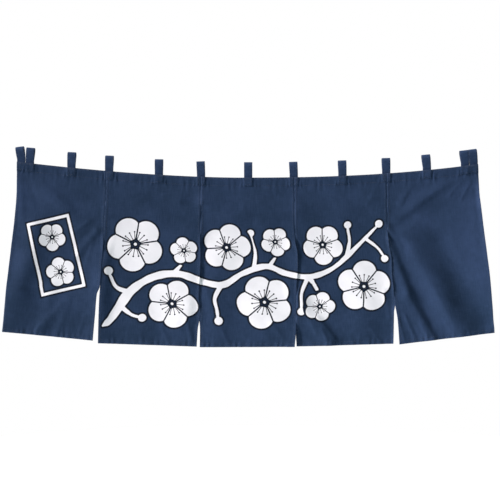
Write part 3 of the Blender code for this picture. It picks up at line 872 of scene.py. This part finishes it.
def drawing(x, z):
    """Signed distance into the white of boughs, buds and the tilted frame, below 0 in the dye."""
    inside = np.full(x.shape, -1.0)
    for points in BOUGHS:
        curve = smooth_curve(points)
        step = np.arange(len(curve))
        radii = curve[:, 2] * (1 + 0.08 * np.sin(step * 0.31) + 0.04 * np.sin(step * 0.83))
        for start, end, r0, r1 in zip(curve[:-1, :2], curve[1:, :2], radii[:-1], radii[1:]):
            line = end - start
            share = np.clip(((x - start[0]) * line[0] + (z - start[1]) * line[1]) / line.dot(line), 0, 1)
            distance = np.hypot(x - start[0] - share * line[0], z - start[1] - share * line[1])
            inside = np.maximum(inside, r0 + (r1 - r0) * share - distance)
    for bud_x, bud_z, radius in BUDS:
        inside = np.maximum(inside, radius - np.hypot(x - bud_x, z - bud_z))
    for flower_x, flower_z, radius, _ in BLOSSOMS:
        inside = np.minimum(inside, np.hypot(x - flower_x, z - flower_z) - BOUGH_CLEARANCE * radius)
    tilt = math.radians(SIGN_TILT)
    dx, dz = x - SIGN_MIDDLE[0], z - SIGN_MIDDLE[1]
    u = np.abs(dx * math.cos(tilt) + dz * math.sin(tilt)) - SIGN_HALF[0]
    v = np.abs(dz * math.cos(tilt) - dx * math.sin(tilt)) - SIGN_HALF[1]
    outline = np.maximum(u, v)
    return np.maximum(inside, SIGN_LINE - np.abs(outline))


def blossom_places(x, z):
    """Place in the nearest blossom, turned and in its radii, and its radius, which is below 0 away from it."""
    nearest = np.full(x.shape, np.inf)
    places = np.full(x.shape + (3,), AWAY)
    for flower_x, flower_z, radius, turn in BLOSSOMS:
        dx, dz = (x - flower_x) / radius, (z - flower_z) / radius
        distance = np.hypot(dx, dz)
        u = dx * math.cos(turn) + dz * math.sin(turn)
        v = dz * math.cos(turn) - dx * math.sin(turn)
        closer = distance < nearest
        nearest = np.where(closer, distance, nearest)
        size = np.where(distance < 1 + RIM_REACH / radius, radius, AWAY)
        places = np.where(closer[..., None], np.stack([u, v, size], axis=-1), places)
    return places


# Materials

SOCKETS = {
    "colour": "Base Color",
    "roughness": "Roughness",
    "normal": "Normal",
    "specular": "Specular IOR Level",
    "sheen": "Sheen Weight",
    "sheen_roughness": "Sheen Roughness",
    "sheen_tint": "Sheen Tint",
    "glow_colour": "Emission Color",
    "glow": "Emission Strength",
}


class Graph:
    """Short ways to add and join one material's nodes."""

    def __init__(self, name):
        self.material = bpy.data.materials.new(name)
        self.material.use_nodes = True
        self.tree = self.material.node_tree
        self.shader = self.tree.nodes["Principled BSDF"]

    def add(self, kind, **settings):
        """A node with its own settings."""
        node = self.tree.nodes.new(kind)
        for key, value in settings.items():
            setattr(node, key, value)
        return node

    def feed(self, socket, value):
        """Joins an output to a socket, or sets the socket's value."""
        if isinstance(value, bpy.types.NodeSocket):
            self.tree.links.new(value, socket)
        else:
            socket.default_value = value

    def fed(self, node, keys, values, output=0):
        """One of a node's outputs, once its sockets are fed."""
        for key, value in zip(keys, values):
            self.feed(node.inputs[key], value)
        return node.outputs[output]

    def finish(self, **values):
        """Feeds the shader's sockets by their short names, and gives the material."""
        for key, value in values.items():
            self.feed(self.shader.inputs[SOCKETS[key]], value)
        return self.material

    def math(self, operation, *values):
        """One step of arithmetic on numbers or outputs."""
        return self.fed(self.add("ShaderNodeMath", operation=operation), range(len(values)), values)

    def plus(self, first, second):
        """Sum of two numbers or outputs."""
        return self.math("ADD", first, second)

    def minus(self, first, second):
        """The first less the second."""
        return self.math("SUBTRACT", first, second)

    def times(self, first, second):
        """Product of two numbers or outputs."""
        return self.math("MULTIPLY", first, second)

    def ramp(self, value, low, high, start=0.0, end=1.0):
        """A value taken smoothly from one range to another."""
        node = self.add("ShaderNodeMapRange", interpolation_type="SMOOTHSTEP")
        keys = ("Value", "From Min", "From Max", "To Min", "To Max")
        return self.fed(node, keys, (value, low, high, start, end))

    def noise(self, vector, scale, detail=2.0, roughness=0.5):
        """Noise at a scale, in cells a metre."""
        node = self.add("ShaderNodeTexNoise")
        return self.fed(node, ("Vector", "Scale", "Detail", "Roughness"), (vector, scale, detail, roughness))

    def stretched(self, vector, scale):
        """A vector with its own scale along each axis."""
        node = self.add("ShaderNodeMapping")
        return self.fed(node, ("Vector", "Scale"), (vector, scale))

    def mix(self, share, first, second):
        """One colour over another."""
        node = self.add("ShaderNodeMix", data_type="RGBA", clamp_factor=True)
        return self.fed(node, (0, 6, 7), (share, first, second), 2)

    def bump(self, height, distance, strength=1.0, normal=None):
        """Relief of a height in metres, on top of an earlier one."""
        node = self.add("ShaderNodeBump")
        if normal is not None:
            self.feed(node.inputs["Normal"], normal)
        return self.fed(node, ("Height", "Distance", "Strength"), (height, distance, strength))


def petals(graph):
    """White of a blossom with gaps between its petals, and with dyed stamens and a dyed heart."""
    attribute = graph.add("ShaderNodeAttribute", attribute_name="blossom")
    parts = graph.add("ShaderNodeSeparateXYZ")
    graph.feed(parts.inputs[0], attribute.outputs["Vector"])
    x, y, size = parts.outputs
    radius = graph.math("SQRT", graph.plus(graph.times(x, x), graph.times(y, y)))
    angle = graph.math("ARCTAN2", y, x)

    def folded(count):
        """Angle from the middle of a point's sector, with the circle cut into equal sectors."""
        turns = graph.times(angle, count / math.tau)
        return graph.times(graph.minus(graph.math("FRACT", turns), 0.5), math.tau / count)

    within = folded(PETALS)
    along = graph.times(radius, graph.math("COSINE", within))
    aside = graph.math("ABSOLUTE", graph.times(radius, graph.math("SINE", within)))
    from_middle = graph.math("POWER", graph.minus(along, PETAL_MIDDLE), 2.0)
    from_axis = graph.math("POWER", graph.times(aside, PETAL_SQUEEZE), 2.0)
    petal = graph.minus(PETAL_RADIUS, graph.math("SQRT", graph.plus(from_middle, from_axis)))
    to_side = graph.minus(graph.times(along, math.sin(math.pi / PETALS)),
        graph.times(aside, math.cos(math.pi / PETALS)),
    )
    petal = graph.math("MINIMUM", petal, graph.minus(to_side, PETAL_GAP))

    thread_angle = folded(STAMENS)
    thread_side = graph.math("ABSOLUTE", graph.times(radius, graph.math("SINE", thread_angle)))
    thread = graph.minus(STAMEN_HALF, thread_side)
    thread = graph.math("MINIMUM", thread, graph.minus(STAMEN_REACH, radius))
    end_out = graph.minus(radius, STAMEN_TIP)
    end = graph.plus(graph.times(end_out, end_out), graph.times(thread_side, thread_side))
    end = graph.minus(STAMEN_TIP_RADIUS, graph.math("SQRT", end))
    heart = graph.minus(HEART, radius)
    dyed = graph.math("MAXIMUM", graph.math("MAXIMUM", thread, end), heart)
    eye = graph.minus(EYE, radius)
    white = graph.math("MAXIMUM", graph.math("MINIMUM", petal, graph.times(dyed, -1.0)), eye)
    reach = graph.times(white, size)
    return white, reach, graph.math("GREATER_THAN", size, 0.5 * min(row[2] for row in BLOSSOMS))


def cotton(name, colours, sizes, design):
    """Indigo cotton: slubby plain weave, uneven dye with painted light and shade, worn edges and, with a
    design, its undyed white.
    """
    graph = Graph(name)
    uv = graph.add("ShaderNodeUVMap", uv_map="cloth").outputs[0]
    place = graph.add("ShaderNodeTexCoord").outputs["Object"]
    parts = graph.add("ShaderNodeSeparateXYZ")
    graph.feed(parts.inputs[0], uv)
    turns = math.tau / sizes.weave
    warp = graph.math("SINE", graph.times(parts.outputs[0], turns))
    weft = graph.math("SINE", graph.times(parts.outputs[1], turns))
    weave = graph.times(warp, weft)
    slub_down = graph.noise(graph.stretched(uv, (900.0, 22.0, 1.0)), 1.0, 2.0)
    slub_across = graph.noise(graph.stretched(uv, (26.0, 900.0, 1.0)), 1.0, 2.0)
    slub = graph.times(graph.plus(slub_down, slub_across), 0.5)

    blotch = graph.noise(place, 5.5, 4.0, 0.55)
    fine = graph.noise(place, 46.0, 3.0, 0.6)
    fade = graph.plus(graph.times(blotch, 0.9), graph.times(fine, 0.35))
    fade = graph.plus(fade, graph.times(slub, 0.9))
    streak = graph.noise(graph.stretched(uv, (240.0, 34.0, 1.0)), 1.0, 2.0, 0.6)
    fade = graph.plus(fade, graph.times(graph.minus(streak, 0.5), 0.5))
    deepest, palest, most = (0.72, 1.45, 0.72) if design else (0.45, 1.25, 0.95)
    # The dye's own uneven fading, plus the painted light, towards the faded colour, and the painted shade,
    # towards the deep colour, of the patches.
    faded_dye_and_painted_light = graph.add("ShaderNodeAttribute", attribute_name="painted_light_and_shade").outputs["Fac"]
    faded_dye_and_painted_light = graph.plus(graph.ramp(fade, deepest, palest, 0.0, most), faded_dye_and_painted_light)
    dye = graph.mix(faded_dye_and_painted_light, (*colours.deep_dye_and_painted_shade, 1.0), (*colours.faded_dye_and_painted_light, 1.0))
    wear = graph.add("ShaderNodeAttribute", attribute_name="wear").outputs["Fac"]
    rubbed = graph.times(wear, graph.ramp(graph.noise(place, 120.0, 3.0, 0.65), 0.35, 0.75, 0.0, 0.55))
    base = graph.mix(rubbed, dye, (*colours.worn, 1.0))
    if design:
        ragged = graph.minus(graph.noise(uv, 420.0, 2.0, 0.6), 0.5)
        drawn = graph.add("ShaderNodeAttribute", attribute_name="drawing").outputs["Fac"]
        drawn = graph.plus(drawn, graph.times(ragged, 0.0016))
        drawn_rim = graph.ramp(drawn, RIM_START, RIM_FULL)
        drawn = graph.ramp(drawn, -0.0005, 0.0006)
        white, reach, near = petals(graph)
        white = graph.plus(white, graph.times(ragged, 0.018))
        bloom_rim = graph.ramp(reach, RIM_START, RIM_FULL)
        bloom = graph.times(graph.ramp(white, -0.006, 0.007), near)
        undyed = graph.math("MAXIMUM", drawn, bloom)
        rim = graph.math("MAXIMUM", drawn_rim, graph.times(bloom_rim, near))
        base = graph.mix(graph.times(rim, 0.90), base, (*(0.15 * c for c in colours.deep_dye_and_painted_shade), 1.0))
        stain = graph.ramp(graph.noise(place, 9.0, 4.0, 0.6), 0.45, 0.80, 0.0, 0.10)
        paste = graph.mix(stain, (*colours.undyed, 1.0), (0.65, 0.67, 0.72, 1.0))
        base = graph.mix(undyed, base, paste)
    roughness = graph.ramp(slub, 0.3, 0.7, 0.93, 0.80)
    crinkle = graph.noise(place, 34.0, 4.0, 0.55)
    relief = graph.bump(crinkle, 0.0012, 0.5)
    relief = graph.bump(slub, 0.00022, 0.6, relief)
    relief = graph.bump(weave, 0.00009, 0.7, relief)
    sheen = {"sheen": 0.06, "sheen_roughness": 0.55, "sheen_tint": (0.62, 0.72, 0.92, 1.0)}
    return graph.finish(colour=base, roughness=roughness, normal=relief, specular=0.12, **sheen)


def sewing_thread(colours):
    """Twisted cotton thread, a little lighter than the cloth."""
    graph = Graph("sewing_thread")
    place = graph.add("ShaderNodeTexCoord").outputs["Object"]
    tone = graph.noise(place, 300.0, 2.0)
    colour = graph.mix(tone, (*(0.6 * c for c in colours.thread), 1.0), (*colours.thread, 1.0))
    relief = graph.bump(graph.noise(place, 3000.0, 1.0), 0.0001, 0.6)
    return graph.finish(colour=colour, normal=relief, roughness=0.75, sheen=0.2)


def stage_white(colours):
    """Pale matt floor with a faint unevenness."""
    graph = Graph("stage_white")
    place = graph.add("ShaderNodeTexCoord").outputs["Object"]
    tone = graph.noise(place, 1.5, 2.0)
    colour = graph.mix(tone, (*colours.stage, 1.0), (*(0.985 * c for c in colours.stage), 1.0))
    return graph.finish(colour=colour, roughness=0.9, glow_colour=(1.0, 1.0, 1.0, 1.0), glow=FLOOR_GLOW)


# Operators


class NOREN_OT_loops(bpy.types.Operator):
    """Make the thirteen sewn loops"""

    bl_idname = "noren.loops"
    bl_label = "Make loops"

    def execute(self, context):
        sizes, colours = context.scene.noren_sizes, context.scene.noren_colours
        material = cotton("loop_cotton", colours, sizes, design=False)
        for tab in range(len(TABS)):
            obj, flat = make_tab(tab, material)
        return {"FINISHED"}


class NOREN_OT_widths(bpy.types.Operator):
    """Make the five hemmed widths of cotton, with their folds and the dyed design"""

    bl_idname = "noren.widths"
    bl_label = "Make widths"

    def execute(self, context):
        sizes, colours = context.scene.noren_sizes, context.scene.noren_colours
        material = cotton("width_cotton", colours, sizes, design=True)
        thread = sewing_thread(colours)
        for panel in range(len(HEMS)):
            obj, flat = make_panel(panel, sizes, material)
            stitches = make_panel_stitches(panel, sizes, thread)
        make_tab_stitches(sizes, thread)
        return {"FINISHED"}


class NOREN_OT_stage(bpy.types.Operator):
    """Set up the pale floor, the soft studio light and the straight front camera"""

    bl_idname = "noren.stage"
    bl_label = "Set the stage"

    def execute(self, context):
        scene = context.scene
        turn = np.linspace(0, math.tau, FLOOR_SIDES, endpoint=False)
        level = np.full(FLOOR_SIDES, FLOOR_Z)
        rim = np.stack([FLOOR_RADIUS * np.cos(turn), FLOOR_RADIUS * np.sin(turn), level], axis=-1)
        floor = mesh_object("stage_floor", rim, [list(range(FLOOR_SIDES))], stage_white(scene.noren_colours))

        camera = bpy.data.objects.new("camera", bpy.data.cameras.new("camera"))
        camera.data.lens, camera.data.sensor_width = LENS, SENSOR
        camera.location = (FRAME_MIDDLE[0], HEAD_Y - FRAME_WIDTH * LENS / SENSOR, FRAME_MIDDLE[1])
        camera.rotation_euler = (math.pi / 2, 0.0, 0.0)
        camera.data.dof.use_dof = False
        scene.collection.objects.link(camera)
        scene.camera = camera

        for name, strength, softness, tip, turn, colour in SUNS:
            sun = bpy.data.objects.new(name, bpy.data.lights.new(name, "SUN"))
            sun.data.energy = strength
            sun.data.angle = math.radians(softness)
            sun.data.color = colour
            sun.rotation_euler = (math.radians(tip), 0.0, math.radians(turn))
            scene.collection.objects.link(sun)

        world = bpy.data.worlds.new("studio")
        world.use_nodes = True
        tree = world.node_tree
        light, backdrop = tree.nodes["Background"], tree.nodes.new("ShaderNodeBackground")
        light.inputs["Color"].default_value = (*AMBIENT_COLOUR, 1.0)
        light.inputs["Strength"].default_value = AMBIENT
        backdrop.inputs["Color"].default_value = (1.0, 1.0, 1.0, 1.0)
        seen = tree.nodes.new("ShaderNodeMixShader")
        tree.links.new(tree.nodes.new("ShaderNodeLightPath").outputs["Is Camera Ray"], seen.inputs[0])
        tree.links.new(light.outputs[0], seen.inputs[1])
        tree.links.new(backdrop.outputs[0], seen.inputs[2])
        tree.links.new(seen.outputs[0], tree.nodes["World Output"].inputs["Surface"])
        scene.world = world
        scene.view_settings.view_transform = "Standard"
        scene.view_settings.look = "None"
        return {"FINISHED"}


class NOREN_PT_sidebar(bpy.types.Panel):
    """The noren's sizes, colours and makers"""

    bl_idname = "NOREN_PT_sidebar"
    bl_label = "Noren"
    bl_space_type = "VIEW_3D"
    bl_region_type = "UI"
    bl_category = "Noren"

    def draw(self, context):
        layout = self.layout
        for group in (context.scene.noren_sizes, context.scene.noren_colours):
            column = layout.column(align=True)
            for key in group.__annotations__:
                column.prop(group, key)
        for operator in (NOREN_OT_loops, NOREN_OT_widths, NOREN_OT_stage):
            layout.operator(operator.bl_idname)


CLASSES = (NorenSizes, NorenColours, NOREN_OT_loops, NOREN_OT_widths, NOREN_OT_stage, NOREN_PT_sidebar)


def register():
    for item in CLASSES:
        bpy.utils.register_class(item)
    bpy.types.Scene.noren_sizes = bpy.props.PointerProperty(type=NorenSizes)
    bpy.types.Scene.noren_colours = bpy.props.PointerProperty(type=NorenColours)


def unregister():
    del bpy.types.Scene.noren_sizes
    del bpy.types.Scene.noren_colours
    for item in reversed(CLASSES):
        bpy.utils.unregister_class(item)


def main():
    """Registers the add-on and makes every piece."""
    register()
    bpy.ops.noren.loops()
    bpy.ops.noren.widths()
    bpy.ops.noren.stage()


if __name__ == "__main__":
    main()
